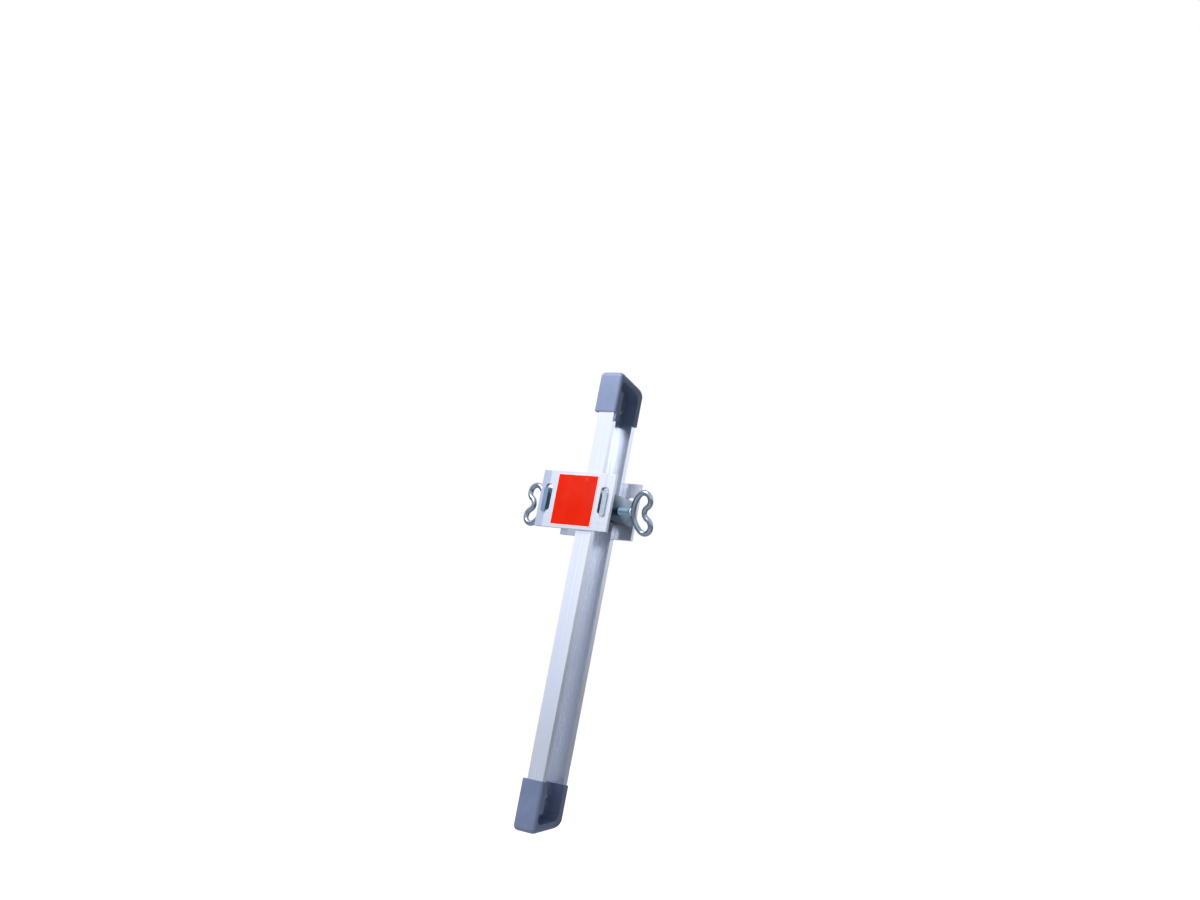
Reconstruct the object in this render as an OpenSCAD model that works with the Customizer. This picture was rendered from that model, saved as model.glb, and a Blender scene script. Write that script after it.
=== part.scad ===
// Ladder leveller: a sliding foot leg that a two-screw clamp holds beside a ladder's side rail.
// X runs from the rail to the leg, Y from front to back and Z up along the leg.
// The origin is the middle of the pocket that takes the rail.

/* [Rail pocket] */
// Width of the ladder rail that the clamp takes
rail_w = 42; // [30:1:60]
// Distance from the rail to the leg
rail_to_leg = 9; // [8.5:0.5:16]

/* [Leg] */
// Width of the leg's flanges, across the ladder
leg_w = 28.5; // [24:0.5:45]
// Depth of the leg's web, front to back
leg_d = 55; // [50:1:80]
// Wall thickness of the leg
leg_wall = 2.5; // [2:0.25:3.5]
// Length of the leg's lips
leg_lip = 8; // [5:0.5:10]
// Length of the leg that shows between the boots
leg_span = 522.5; // [350:0.5:900]
// Distance from the top boot's rim down to the clamp's middle
clamp_drop = 122.5; // [70:0.5:200]

/* [Boots] */
// Height of a boot along its front, from rim to sole
boot_h = 77; // [72:1:110]
// Depth of the socket that holds the leg's end
boot_socket = 41.5; // [25:0.5:44]
// Slant of the sole, from the toe up to the heel
sole_slant = 14.5; // [2:0.5:16]
// Thickness of the sole below the recess
sole_t = 15; // [8:0.5:18]
// Boot wall on the leg's rail side
boot_rail_wall = 8.5; // [6:0.5:8.5]
// Boot wall over the leg's open side
boot_open_wall = 3.5; // [2.5:0.5:6]
// Boot wall on the leg's front and back
boot_skin = 2.5; // [2:0.5:5]
// Boot lining past the end of each lip
lip_lining = 1.5; // [1:0.5:3]
// Boot lining inside the leg's web
web_lining = 7.5; // [4:0.5:12]
// Front wall of the boot beyond the leg's end
toe_wall = 5; // [4:0.5:8]
// Radius of the recess's corner above the heel
recess_r = 12; // [2:0.5:14]
// How much shorter the top boot's back wall is
back_cut = 4; // [0:0.5:6]
// How much shorter the top boot's front wall and rail side wall are
front_cut = 13; // [6:0.5:14]
// Radius of the heel
heel_r = 12; // [2:0.5:14]
// Radius of the toe
toe_r = 8; // [1:0.5:9]
// Radius of the sole's side edges
sole_edge_r = 6; // [1:0.5:7]
// Radius of the boot's upright edges
boot_edge_r = 4; // [1:0.5:4.5]

/* [Boot rivets] */
// Shank diameter
rivet_d = 5; // [3:0.5:6]
// Head diameter
rivet_head_d = 9; // [8:0.5:11]
// Head height
rivet_head_h = 2.5; // [1.5:0.5:3]
// Distance between a boot's two rivets
rivet_pitch = 22; // [14:1:26]

/* [Clamp plates] */
// Height of each plate
plate_h = 84; // [80:1:120]
// Thickness of each plate
plate_t = 6; // [4:0.5:10]
// Plate beyond each cross bar
plate_end = 8; // [4:0.5:12]
// Width of the thinner band at each end
band_w = 16; // [8:0.5:18]
// How much thinner the band is
band_step = 0.8; // [0.4:0.1:1.5]
// Width of a slot
slot_w = 14; // [12:0.5:18]
// Height of a slot
slot_h = 40; // [39:1:56]
// How far a slot sits above the plate's middle
slot_lift = 2; // [0:0.5:6]
// Corner radius of a slot
slot_r = 5; // [2:0.5:6]

/* [Cross bars] */
// Thickness of a bar
bar_t = 8; // [7:0.5:10]
// Height of a bar
bar_h = 36; // [30:1:37]
// How far a bar's nose hooks over the slot's lower end
hook = 2; // [1:0.5:3]
// How far the nose stands out of the plate's band
nose = 2.5; // [1.5:0.5:8]
// Corner radius of the nose
nose_r = 3; // [1:0.5:3]
// How far the screw sits below the bar's middle
screw_drop = 3; // [0:0.5:4]

/* [Label] */
// Width of the label
label_w = 76; // [40:1:80]
// Height of the label
label_h = 77; // [40:1:78]
// Thickness of the label
label_t = 0.4; // [0.2:0.1:1]

/* [Spacer] */
// Height of the spacer block
spacer_h = 70; // [60:1:78]
// Thickness of its rubber facing
grip_t = 2; // [1:0.5:2.5]
// How far that facing stays in from the block's edges
grip_inset = 2; // [1:0.5:6]
// Shank diameter of its countersunk screws
spacer_screw_d = 4; // [3:0.5:4]
// Length of those screws
spacer_screw_l = 18; // [12:1:30]
// Distance between them
spacer_screw_pitch = 40; // [20:1:50]

/* [Clamp screws] */
// Diameter of a clamp screw
screw_d = 10; // [8:0.5:11]
// Stem from the bar's outer face to the loop
stem = 21; // [12:0.5:40]
// Room between the leg side's pad and its bar
leg_pad_play = 7; // [1:0.5:14]
// Room between the rail side's pad and its bar
rail_pad_play = 1; // [1:0.5:14]

/* [Pressure pads] */
// How far a pad stays in from the leg's front and back
pad_inset = 1.5; // [0.5:0.5:6]
// Height of a pad
pad_h = 32; // [24:1:36]
// Thickness of a pad
pad_t = 5; // [4.5:0.5:6]
// Thickness of a pad's rubber facing
facing_t = 2; // [1.5:0.5:3]
// Diameter of the screw tip that turns in the pad
tip_d = 7; // [6:0.5:7.5]
// Pad left under the screw's tip
tip_floor = 1; // [0.8:0.1:1.5]
// Outer diameter of the ring that keeps the tip in the pad
clip_d = 12; // [10:0.5:14]
// Thickness of that ring
clip_t = 0.9; // [0.6:0.1:1.2]
// Depth of the ring's groove in the tip
groove = 0.8; // [0.5:0.1:1]

/* [Wire loops] */
// Diameter of the wire
wire_d = 8; // [6:0.5:9]
// Height of a loop
loop_h = 66.6; // [60:0.2:90]
// Width of a loop
loop_w = 39; // [36:0.5:50]
// Bend radius of a lobe, at the wire's middle
lobe_r = 11; // [9:0.5:12]
// Depth of the dent in the loop's outer side
dent = 11; // [8:0.5:14]
// How deep the stem is let into the wire
weld_seat = 2; // [1:0.5:3]
// Turn of the leg screw's loop
leg_loop_turn = 17; // [-90:1:90]
// Turn of the rail screw's loop
rail_loop_turn = 0; // [-90:1:90]

/* [Fits] */
// Play between the leg and what it slides along
slide_gap = 0.4; // [0.3:0.1:0.8]
// Play between a bar's neck and the slot
slot_fit = 0.1; // [0.05:0.05:0.3]
// Radial play of a clamp screw in its bar and in its pad
screw_fit = 0.05; // [0.03:0.01:0.1]
// Radial play of rivets and countersunk screws
fastener_fit = 0.05; // [0.02:0.01:0.1]

/* [Hidden] */
$fn = 64;
// Steps of a rounded corner
corner_steps = 8;
// How far a cut runs past the surface that it opens
over = 1;
// Height of a countersunk head as a share of the screw's diameter
csk_share = 0.55;
// Share of the screw's diameter for the key's hexagon
hex_share = 0.625;
// Sleeves that lap the bends of a wire
sleeve_t = 0.02;
sleeve_l = 0.4;

leg_x = rail_w / 2 + rail_to_leg;
leg_face_x = leg_x + leg_w;
foot_rim_z = clamp_drop - leg_span;
top_rim_z = clamp_drop;
boot_d = leg_d + 2 * boot_skin;
boot_x = leg_x - boot_rail_wall;
boot_w = boot_rail_wall + leg_w + boot_open_wall;
sole_rise = tan(sole_slant);
heel_h = boot_h - boot_d * sole_rise;
recess_x = leg_x + leg_wall + web_lining;
recess_d = leg_d - 2 * (leg_lip + lip_lining);
rivet_z = -boot_socket / 2;

gap_y = leg_d / 2 + slide_gap;
leg_pad_room = slide_gap + facing_t + pad_t + leg_pad_play;
rail_pad_room = facing_t + pad_t + rail_pad_play;
plate_x = -rail_w / 2 - rail_pad_room - bar_t - plate_end;
plate_end_x = leg_face_x + leg_pad_room + bar_t + plate_end;
plate_w = plate_end_x - plate_x;
plate_mid_x = (plate_x + plate_end_x) / 2;
// Middle of a slot, measured in from the plate's end
slot_in = plate_end - slot_fit + slot_w / 2;
band_t = plate_t - band_step;
// A bar hangs on the lower ends of its slots, which sets the height of the screws
screw_z = slot_lift - slot_h / 2 - hook + bar_h / 2 - screw_drop;
spacer_x = rail_w / 2 + grip_t;
spacer_t = leg_x - slide_gap - spacer_x;
csk_h = csk_share * spacer_screw_d;
csk_d = 2 * spacer_screw_d;

pad_d = leg_d - 2 * pad_inset;
// The ring's groove lies in the pad's back, with a little room on both sides
groove_room = 0.05;
clip_in = 0.45;
groove_d = tip_d - 2 * groove;
tip_l = pad_t - tip_floor;

function unit(v) = v / norm(v);
function turned(v, a) = [v.x * cos(a) - v.y * sin(a), v.x * sin(a) + v.y * cos(a)];
// Points of a convex corner p rounded to r, running anticlockwise from the side of before to that of after
function corner(p, before, after, r) =
  let (a = unit(before - p), b = unit(after - p), half = acos(a * b) / 2,
       middle = p + unit(a + b) * r / sin(half), start = p + a * r / tan(half) - middle)
  [for (i = [0:corner_steps]) middle + turned(start, (180 - 2 * half) * i / corner_steps)];
function rounded(pts, radii) =
  let (n = len(pts))
  [for (i = [0:n - 1]) each radii[i] > 0
    ? corner(pts[i], pts[(i + n - 1) % n], pts[(i + 1) % n], radii[i]) : [pts[i]]];
function rectangle(w, h, r) =
  rounded([[-w / 2, -h / 2], [w / 2, -h / 2], [w / 2, h / 2], [-w / 2, h / 2]], [r, r, r, r]);

// Extrusion along X of an outline drawn in Y and Z
module along_x(length) { rotate([90, 0, 90]) linear_extrude(length) children(); }
// Extrusion along Y, from front to back, of an outline drawn in X and Z
module along_y(length) { translate([0, length, 0]) rotate([90, 0, 0]) linear_extrude(length) children(); }
// Round bar along X
module rod(d, length) { rotate([0, 90, 0]) cylinder(d = d, h = length); }
// Box from its low corner to its high corner
module block(low, high) { translate(low) cube(high - low); }

// What belongs to a screw is drawn outwards from the face that its pad clamps, on the screw's axis
module leg_side() { translate([leg_face_x, 0, screw_z]) children(); }
module rail_side() { translate([-rail_w / 2, 0, screw_z]) mirror([1, 0, 0]) children(); }

// The leg

module leg_section(length) {
  half = leg_d / 2;
  slit = half - leg_lip;
  translate([leg_x, 0, 0]) linear_extrude(length) difference() {
    translate([0, -half]) square([leg_w, leg_d]);
    translate([leg_wall, leg_wall - half]) square([leg_w - 2 * leg_wall, leg_d - 2 * leg_wall]);
    translate([leg_w - leg_wall - over, -slit]) square([leg_wall + 2 * over, 2 * slit]);
  }
}

// Holes of a boot's rivets, with the boot's rim at Z 0
module rivet_holes() {
  for (side = [-1, 1]) translate([boot_x, side * rivet_pitch / 2, rivet_z]) {
    translate([-over, 0, 0]) rod(rivet_d + 2 * fastener_fit, recess_x - boot_x + 2 * over);
    translate([-over, 0, 0]) rod(rivet_head_d + 2 * fastener_fit, rivet_head_h + over);
  }
}

module foot_end() { translate([0, 0, foot_rim_z]) children(); }
module top_end() { translate([0, 0, top_rim_z]) mirror([0, 0, 1]) children(); }

module leg_channel() {
  color("gainsboro") difference() {
    translate([0, 0, foot_rim_z - boot_socket]) leg_section(leg_span + 2 * boot_socket);
    foot_end() rivet_holes();
    top_end() rivet_holes();
  }
}

// Height of the recess's floor at a distance from the middle, with the boot's rim at Z 0
function floor_z(y) = sole_t - (boot_h + heel_h) / 2 + y * sole_rise;

// Boot on the leg's lower end, with its rim at Z 0. The walls can be cut shorter:
// the back wall at a slant from the front, and the front and rail side walls square.
module boot(back, front) {
  toe_y = -boot_d / 2;
  side = rounded([[toe_y, -boot_h], [-toe_y, -heel_h], [-toe_y, -back], [toe_y, 0]], [toe_r, heel_r, 0, 0]);
  // Seen along the slanted sole
  face = rounded([[0, 0], [boot_w, 0], [boot_w, boot_h + over], [0, boot_h + over]],
    [sole_edge_r, sole_edge_r, 0, 0]);
  front_y = toe_y + toe_wall;
  back_y = recess_d / 2;
  step_z = -boot_socket - boot_skin;
  recess = rounded([[front_y, floor_z(front_y)], [back_y, floor_z(back_y)], [back_y, over], [-back_y, over],
    [-back_y, step_z], [front_y, step_z]], [sole_edge_r, recess_r, 0, 0, 0, boot_skin]);
  color([0.44, 0.5, 0.63]) difference() {
    intersection() {
      translate([boot_x, 0, 0]) along_x(boot_w) polygon(side);
      translate([boot_x, toe_y, -boot_h]) rotate([sole_slant, 0, 0]) translate([0, -over, 0])
        along_y(boot_d + boot_h) polygon(face);
      translate([boot_x + boot_w / 2, 0, -boot_h]) linear_extrude(boot_h)
        polygon(rectangle(boot_w, boot_d, boot_edge_r));
    }
    translate([0, 0, -boot_socket]) leg_section(boot_socket + over);
    translate([recess_x, 0, 0]) along_x(boot_x + boot_w - recess_x + over) polygon(recess);
    rivet_holes();
    if (front > 0) {
      block([boot_x - over, toe_y - over, -front], [boot_x + boot_w + over, (leg_wall - leg_d) / 2, over]);
      block([boot_x - over, toe_y - over, -front], [leg_x + leg_wall / 2, -toe_y + over, over]);
    }
  }
}

module boot_rivets() {
  color("silver") for (side = [-1, 1]) translate([boot_x, side * rivet_pitch / 2, rivet_z]) {
    rod(rivet_head_d, rivet_head_h);
    rod(rivet_d, recess_x - boot_x);
    translate([recess_x - boot_x, 0, 0]) rod(rivet_head_d, rivet_head_h);
  }
}

module foot_boot() { foot_end() boot(0, 0); }
module top_boot() { top_end() boot(back_cut, front_cut); }
module foot_boot_rivets() { foot_end() boot_rivets(); }
module top_boot_rivets() { top_end() boot_rivets(); }

// The clamp

// Plate with its inner face at Y 0 and its outer face towards +Y
module clamp_plate() {
  difference() {
    translate([plate_x, 0, -plate_h / 2]) cube([plate_w, plate_t, plate_h]);
    for (end = [0, 1]) translate([plate_x + end * plate_w, 0, 0]) mirror([end, 0, 0]) {
      translate([-over, band_t, -plate_h / 2 - over]) cube([band_w + over, plate_t, plate_h + 2 * over]);
      translate([slot_in, -over, slot_lift]) along_y(plate_t + 2 * over)
        polygon(rectangle(slot_w, slot_h, slot_r));
    }
  }
}

// The spacer's countersunk screw along +Y, with its head's top at Y 0
module countersunk(d, length, head_d, head_h) {
  rotate([-90, 0, 0]) {
    cylinder(d = d, h = length);
    cylinder(d1 = head_d, d2 = d, h = head_h);
  }
}

module at_spacer_screws() {
  for (side = [-1, 1])
    translate([spacer_x + spacer_t / 2, -gap_y - plate_t, side * spacer_screw_pitch / 2]) children();
}

module spacer_screw_holes() {
  at_spacer_screws() countersunk(spacer_screw_d + 2 * fastener_fit, spacer_screw_l + fastener_fit,
    csk_d + 2 * fastener_fit, csk_h);
}

module front_plate() {
  color("whitesmoke") difference() {
    translate([0, -gap_y, 0]) mirror([0, 1, 0]) clamp_plate();
    spacer_screw_holes();
  }
}

module back_plate() { color("whitesmoke") translate([0, gap_y, 0]) clamp_plate(); }

module front_label() {
  color([0.91, 0.17, 0.07]) translate([plate_mid_x, -gap_y - plate_t - label_t, 0])
    along_y(label_t) polygon(rectangle(label_w, label_h, label_t));
}

// Bar on the outer side of a pad: body between the plates, necks in the slots and noses outside them
module cross_bar(room) {
  out = room + bar_t;
  low = screw_drop - bar_h / 2;
  high = screw_drop + bar_h / 2;
  nose_y = gap_y + band_t + slot_fit;
  color("slategray") difference() {
    union() {
      block([room, -gap_y, low], [out, gap_y, high]);
      for (side = [0, 1]) mirror([0, side, 0]) {
        intersection() {
          block([room, gap_y - over, low], [out, nose_y + over, high]);
          translate([out + slot_fit - slot_w / 2, gap_y - over, slot_lift - screw_z])
            along_y(nose_y - gap_y + 2 * over)
              polygon(rectangle(slot_w - 2 * slot_fit, slot_h - 2 * slot_fit, slot_r));
        }
        translate([room + bar_t / 2, nose_y, screw_drop]) along_y(nose)
          polygon(rectangle(bar_t, bar_h, nose_r));
      }
    }
    translate([room - over, 0, 0]) rod(screw_d + 2 * screw_fit, bar_t + 2 * over);
  }
}

module leg_side_bar() { leg_side() cross_bar(leg_pad_room); }
module rail_side_bar() { rail_side() cross_bar(rail_pad_room); }

module spacer_block() {
  color("dimgray") difference() {
    block([spacer_x, -gap_y, -spacer_h / 2], [spacer_x + spacer_t, gap_y, spacer_h / 2]);
    spacer_screw_holes();
  }
}

module rail_grip_pad() {
  color("black") block([rail_w / 2, grip_inset - gap_y, grip_inset - spacer_h / 2],
    [spacer_x, gap_y - grip_inset, spacer_h / 2 - grip_inset]);
}

module spacer_screws() {
  color("silver") at_spacer_screws() difference() {
    countersunk(spacer_screw_d, spacer_screw_l, csk_d, csk_h);
    translate([0, -over, 0]) rotate([-90, 0, 0])
      cylinder(d = hex_share * spacer_screw_d, h = csk_h + over, $fn = 6);
  }
}

// The clamp screws and their pads, drawn outwards from a facing that starts at X gap

module pad_facing(gap) {
  color("black") block([gap, -pad_d / 2, -pad_h / 2], [gap + facing_t, pad_d / 2, pad_h / 2]);
}

module pressure_pad(gap) {
  back = gap + facing_t + pad_t;
  clip_depth = clip_in + clip_t;
  color("gray") difference() {
    block([gap + facing_t, -pad_d / 2, -pad_h / 2], [back, pad_d / 2, pad_h / 2]);
    translate([back - tip_l, 0, 0]) rod(tip_d + 2 * screw_fit, tip_l + over);
    translate([back - clip_depth, 0, 0]) rod(clip_d, clip_depth + over);
  }
}

module pad_clip(gap) {
  back = gap + facing_t + pad_t;
  color("silver") translate([back - clip_in - clip_t, 0, 0]) difference() {
    rod(clip_d, clip_t);
    translate([-over, 0, 0]) rod(groove_d + 2 * screw_fit, clip_t + 2 * over);
  }
}

module clamp_screw(gap, room) {
  back = gap + facing_t + pad_t;
  end = room + bar_t + stem + weld_seat;
  groove_start = back - clip_in - clip_t - groove_room;
  color("lightsteelblue") {
    translate([back, 0, 0]) rod(screw_d, end - back);
    difference() {
      translate([back - tip_l, 0, 0]) rod(tip_d, tip_l);
      translate([groove_start, 0, 0]) difference() {
        rod(tip_d + over, clip_t + 2 * groove_room);
        translate([-over, 0, 0]) rod(groove_d, clip_t + 2 * (groove_room + over));
      }
    }
  }
}

// Stretch of wire bent to radius r about a centre in X and Z, between two angles from X towards Z,
// with a short sleeve at its end that laps the next stretch
module bend(middle, r, from, to) {
  translate([middle.x, 0, middle.y]) rotate([90, 0, 0]) {
    rotate([0, 0, from]) rotate_extrude(angle = to - from) translate([r, 0]) circle(d = wire_d);
    rotate([0, 0, to]) translate([r, 0, 0]) rotate([90, 0, 0])
      cylinder(d = wire_d + 2 * sleeve_t, h = sleeve_l, center = true);
  }
}

// Closed loop in X and Z: a wide back that the stem meets, two lobes, and a dent between them
module wire_loop(room) {
  w = loop_w - wire_d;
  lobe = [w - lobe_r, (loop_h - wire_d) / 2 - lobe_r];
  back_r = (lobe.x * lobe.x + lobe.y * lobe.y - lobe_r * lobe_r) / (2 * (lobe.x - lobe_r));
  back_half = atan2(lobe.y, back_r - lobe.x);
  dent_in = w - dent - lobe.x;
  dent_r = (dent_in * dent_in + lobe.y * lobe.y - lobe_r * lobe_r) / (2 * (lobe_r - dent_in));
  dent_x = w - dent + dent_r;
  dent_half = atan2(lobe.y, dent_x - lobe.x);
  color("lightsteelblue") translate([room + bar_t + stem, 0, 0]) difference() {
    translate([wire_d / 2, 0, 0]) {
      bend([back_r, 0], back_r, 180 - back_half, 180 + back_half);
      bend([lobe.x, -lobe.y], lobe_r, back_half - 180, dent_half);
      bend([dent_x, 0], dent_r, 180 + dent_half, 180 - dent_half);
      bend(lobe, lobe_r, -dent_half, 180 - back_half);
    }
    translate([-over, 0, 0]) rod(screw_d, weld_seat + over);
  }
}

module leg_screw() { leg_side() clamp_screw(slide_gap, leg_pad_room); }
module leg_screw_loop() { leg_side() rotate([leg_loop_turn, 0, 0]) wire_loop(leg_pad_room); }
module leg_pressure_pad() { leg_side() pressure_pad(slide_gap); }
module leg_pad_facing() { leg_side() pad_facing(slide_gap); }
module leg_pad_clip() { leg_side() pad_clip(slide_gap); }
module rail_screw() { rail_side() clamp_screw(0, rail_pad_room); }
module rail_screw_loop() { rail_side() rotate([rail_loop_turn, 0, 0]) wire_loop(rail_pad_room); }
module rail_pressure_pad() { rail_side() pressure_pad(0); }
module rail_pad_facing() { rail_side() pad_facing(0); }
module rail_pad_clip() { rail_side() pad_clip(0); }

leg_channel();
foot_boot();
top_boot();
foot_boot_rivets();
top_boot_rivets();
front_plate();
front_label();
back_plate();
leg_side_bar();
rail_side_bar();
spacer_block();
rail_grip_pad();
spacer_screws();
leg_screw();
leg_screw_loop();
leg_pressure_pad();
leg_pad_facing();
leg_pad_clip();
rail_screw();
rail_screw_loop();
rail_pressure_pad();
rail_pad_facing();
rail_pad_clip();
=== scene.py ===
import math

import bmesh
import bpy
from mathutils import Matrix, Vector


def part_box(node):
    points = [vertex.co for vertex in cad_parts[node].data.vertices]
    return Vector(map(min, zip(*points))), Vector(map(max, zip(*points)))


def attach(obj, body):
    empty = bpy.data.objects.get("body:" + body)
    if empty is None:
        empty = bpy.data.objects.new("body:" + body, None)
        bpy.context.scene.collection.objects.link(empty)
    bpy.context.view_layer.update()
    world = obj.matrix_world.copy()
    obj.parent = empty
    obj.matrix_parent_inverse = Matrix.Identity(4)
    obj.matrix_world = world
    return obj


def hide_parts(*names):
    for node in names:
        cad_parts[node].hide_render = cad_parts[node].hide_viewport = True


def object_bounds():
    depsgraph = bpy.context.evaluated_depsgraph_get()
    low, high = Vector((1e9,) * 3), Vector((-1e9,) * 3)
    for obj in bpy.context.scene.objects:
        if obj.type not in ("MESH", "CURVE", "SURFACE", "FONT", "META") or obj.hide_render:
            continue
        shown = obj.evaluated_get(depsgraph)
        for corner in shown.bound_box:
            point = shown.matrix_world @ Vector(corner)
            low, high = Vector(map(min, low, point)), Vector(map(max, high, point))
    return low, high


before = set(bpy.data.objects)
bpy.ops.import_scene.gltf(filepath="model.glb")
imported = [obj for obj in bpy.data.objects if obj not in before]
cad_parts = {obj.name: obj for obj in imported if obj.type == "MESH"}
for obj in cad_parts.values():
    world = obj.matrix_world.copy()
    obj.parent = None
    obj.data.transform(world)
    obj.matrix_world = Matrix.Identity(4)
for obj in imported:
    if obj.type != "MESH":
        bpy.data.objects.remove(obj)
cad_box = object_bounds()


# Clamp plates
# Two flat bars of satin aluminium, sawn to length, with a thin band milled across each end of the
# outer face. The cross bars hook through the two punched slots and hold the plates together.

def put(name, mesh):
    """A new piece with its place in its mesh."""
    piece = bpy.data.objects.new(name, mesh)
    bpy.context.scene.collection.objects.link(piece)
    return piece


def whole_faces(source, name):
    """A mesh's copy, with its loose triangles joined into whole faces."""
    shape = bmesh.new()
    shape.from_mesh(source)
    bmesh.ops.remove_doubles(shape, verts=shape.verts, dist=2e-6)
    bmesh.ops.dissolve_limit(shape, angle_limit=math.radians(0.3), verts=shape.verts, edges=shape.edges)
    mesh = bpy.data.meshes.new(name)
    shape.to_mesh(mesh)
    shape.free()
    if "custom_normal" in mesh.attributes:
        mesh.attributes.remove(mesh.attributes["custom_normal"])
    return mesh


def merged_copy(node, name):
    """The node's own shape as a new piece."""
    return put(name, whole_faces(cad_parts[node].data, name))


def made_mesh(piece):
    """Turns a piece with its modifiers into a plain mesh."""
    bpy.context.view_layer.update()
    ready = piece.evaluated_get(bpy.context.evaluated_depsgraph_get())
    mesh = bpy.data.meshes.new_from_object(ready)
    mesh.name = piece.name
    piece.modifiers.clear()
    piece.data = mesh
    return mesh


def round_edges(piece, finish, width, steps=3, over_angle=32):
    """Rounds the edges, and marks the rounded faces in the attribute edge, where the finish wears."""
    mesh = piece.data
    mesh.materials.clear()
    mesh.materials.append(finish)
    mesh.materials.append(finish)
    mesh.polygons.foreach_set("use_smooth", [True] * len(mesh.polygons))
    rounding = piece.modifiers.new("Rounding", "BEVEL")
    rounding.width = width
    rounding.segments = steps
    rounding.limit_method = "ANGLE"
    rounding.angle_limit = math.radians(over_angle)
    rounding.material = 1
    shading = piece.modifiers.new("Even shading", "WEIGHTED_NORMAL")
    shading.weight = 100
    mesh = made_mesh(piece)
    edge = mesh.attributes.new("edge", "FLOAT", "FACE")
    edge.data.foreach_set("value", [float(face.material_index) for face in mesh.polygons])
    mesh.polygons.foreach_set("material_index", [0] * len(mesh.polygons))
    mesh.materials.pop(index=1)
    return piece


def place(tree, kind, inputs=None, **settings):
    """A shader node with its settings, and its inputs set or linked."""
    made = tree.nodes.new("ShaderNode" + kind)
    for name, value in settings.items():
        setattr(made, name, value)
    for name, value in (inputs or {}).items():
        if isinstance(value, bpy.types.NodeSocket):
            tree.links.new(value, made.inputs[name])
        else:
            made.inputs[name].default_value = value
    return made


def blend_colours(tree, share, first, second, how="MIX"):
    """Colour between two colours or colour sockets."""
    made = place(tree, "Mix", {0: share}, data_type="RGBA", blend_type=how)
    for index, value in ((6, first), (7, second)):
        if isinstance(value, bpy.types.NodeSocket):
            tree.links.new(value, made.inputs[index])
        else:
            made.inputs[index].default_value = (*value, 1.0)
    return made.outputs[2]


def spread(tree, value, low, high, to_low=0.0, to_high=1.0):
    """A value's range brought to another range, and held inside it."""
    made = place(tree, "MapRange", {"Value": value, "From Min": low, "From Max": high,
                                    "To Min": to_low, "To Max": to_high})
    return made.outputs["Result"]


def times(tree, first, second):
    """The product of two values."""
    return place(tree, "Math", {0: first, 1: second}, operation="MULTIPLY").outputs[0]


def plus(tree, first, second):
    """The sum of two values."""
    return place(tree, "Math", {0: first, 1: second}, operation="ADD").outputs[0]


def shader_group(name, inputs, outputs):
    """An empty shader group with named sockets."""
    tree = bpy.data.node_groups.new(name, "ShaderNodeTree")
    for label, kind, value in inputs:
        socket = tree.interface.new_socket(label, in_out="INPUT", socket_type="NodeSocket" + kind)
        socket.default_value = value
    for label in outputs:
        tree.interface.new_socket(label, in_out="OUTPUT", socket_type="NodeSocketFloat")
    return tree, tree.nodes.new("NodeGroupInput").outputs, tree.nodes.new("NodeGroupOutput").inputs


def group_in(tree, group, inputs):
    """A shader group placed in a material with its own values."""
    made = place(tree, "Group", node_tree=group)
    for name, value in inputs.items():
        made.inputs[name].default_value = value
    return made.outputs


def object_place(tree):
    """The place on the piece, in metres."""
    return place(tree, "TexCoord").outputs["Object"]


# Drawn lines left along a bar by the die or the brush: Stretch gives lines per metre on each axis
drawn_lines, given, out = shader_group(
    "Drawn lines", [("Stretch", "Vector", (900.0, 900.0, 6.0))], ["Height", "Tone"])
stretched = place(drawn_lines, "VectorMath", {0: object_place(drawn_lines), 1: given["Stretch"]},
                  operation="MULTIPLY").outputs[0]
fine = place(drawn_lines, "TexNoise", {"Vector": stretched, "Scale": 1.0, "Detail": 3.0}).outputs["Fac"]
broad = place(drawn_lines, "TexNoise", {"Vector": stretched, "Scale": 0.17, "Detail": 2.0}).outputs["Fac"]
drawn_lines.links.new(fine, out["Height"])
drawn_lines.links.new(spread(drawn_lines, plus(drawn_lines, fine, broad), 0.7, 1.3), out["Tone"])

# Edges rubbed by handling, broken up by noise
edge_rub, given, out = shader_group(
    "Edge rub", [("Amount", "Float", 1.0), ("Breaks", "Float", 120.0)], ["Mask"])
on_edge = place(edge_rub, "Attribute", attribute_name="edge").outputs["Fac"]
breaks = place(edge_rub, "TexNoise", {"Vector": object_place(edge_rub), "Scale": given["Breaks"],
                                      "Detail": 4.0}).outputs["Fac"]
kept = times(edge_rub, on_edge, spread(edge_rub, breaks, 0.38, 0.62))
edge_rub.links.new(times(edge_rub, kept, given["Amount"]), out["Mask"])

# Smudges from hands, and short scratches that lie in two directions
hand_marks, given, out = shader_group(
    "Hand marks", [("Smudge size", "Float", 14.0), ("Scratch size", "Float", 60.0)], ["Smudge", "Scratch"])
here = object_place(hand_marks)
smudge = place(hand_marks, "TexNoise", {"Vector": here, "Scale": given["Smudge size"],
                                        "Detail": 3.0, "Roughness": 0.5}).outputs["Fac"]
hand_marks.links.new(spread(hand_marks, smudge, 0.42, 0.68), out["Smudge"])
scratches = []
for turn, squeeze in (((0.3, 0.5, 0.4), (1.0, 14.0, 1.0)), ((0.2, -0.7, 1.1), (12.0, 1.0, 1.0))):
    turned = place(hand_marks, "Mapping", {"Vector": here, "Rotation": turn, "Scale": squeeze}).outputs[0]
    streak = place(hand_marks, "TexNoise", {"Vector": turned, "Scale": given["Scratch size"],
                                            "Detail": 2.0, "Distortion": 0.3}).outputs["Fac"]
    scratches.append(spread(hand_marks, streak, 0.70, 0.76))
hand_marks.links.new(plus(hand_marks, *scratches), out["Scratch"])


def new_finish(name):
    """A material with its Principled shader."""
    material = bpy.data.materials.new(name)
    material.use_nodes = True
    return material, material.node_tree, material.node_tree.nodes["Principled BSDF"].inputs


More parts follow.
